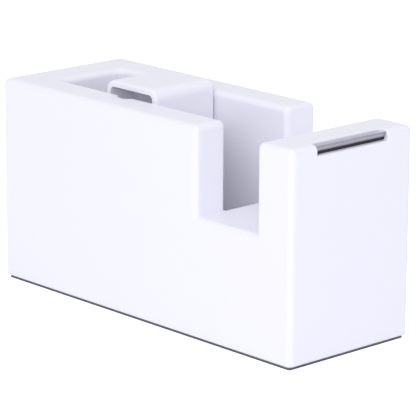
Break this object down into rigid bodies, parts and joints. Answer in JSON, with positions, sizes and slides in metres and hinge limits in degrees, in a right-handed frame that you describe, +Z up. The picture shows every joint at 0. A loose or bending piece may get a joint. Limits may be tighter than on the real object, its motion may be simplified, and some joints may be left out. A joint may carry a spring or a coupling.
{
  "type": "tape dispenser",
  "caption": "Weighted desk tape dispenser: white block with a roll well, a step, a front tower with a toothed blade, and a lift-out roll carrier with a turning hub.",
  "frame": {"origin": "middle of the footprint, on the surface the dispenser stands on", "axes": "+X towards the cutting blade, along the length; +Z up; +Y across"},
  "size_m": [0.169, 0.0642, 0.0892],
  "materials": {
    "white_abs": "satin moulded ABS, white",
    "grey_foam": "soft matt pad, dark grey",
    "zinc_steel": "zinc plated",
    "cast_iron": "as cast",
    "blade_steel": "ground stainless strip",
    "dark_acetal": "moulded, near black",
    "white_acetal": "moulded, white",
    "hub_abs": "moulded ABS, off-white"
  },
  "bodies": {
    "body": {"body_shell": "white_abs", "base_plate": "dark_acetal", "base_pad": "grey_foam", "base_plate_screws": "zinc_steel", "ballast_screws": "zinc_steel", "front_ballast": "cast_iron", "rear_ballast": "cast_iron", "blade": "blade_steel", "blade_holder": "dark_acetal", "holder_screws": "zinc_steel"},
    "carrier": {"cover": "white_abs", "hanger": "zinc_steel", "hanger_screws": "zinc_steel", "axle_pin": "zinc_steel", "guide_near": "white_acetal", "guide_far": "white_acetal", "drag_washer": "zinc_steel", "retaining_clip": "zinc_steel"},
    "hub": {"hub_drum": "hub_abs", "hub_bush_near": "white_acetal", "hub_bush_far": "white_acetal"}
  },
  "joints": [
    {"name": "carrier_lift", "type": "slide", "parent": "body", "child": "carrier", "axis": [0, 0, 1], "range_m": [0, 0.075]},
    {"name": "hub_spin", "type": "hinge", "parent": "carrier", "child": "hub", "pos_m": [-0.0235, 0, 0.041], "axis": [0, 1, 0], "continuous": true}
  ]
}
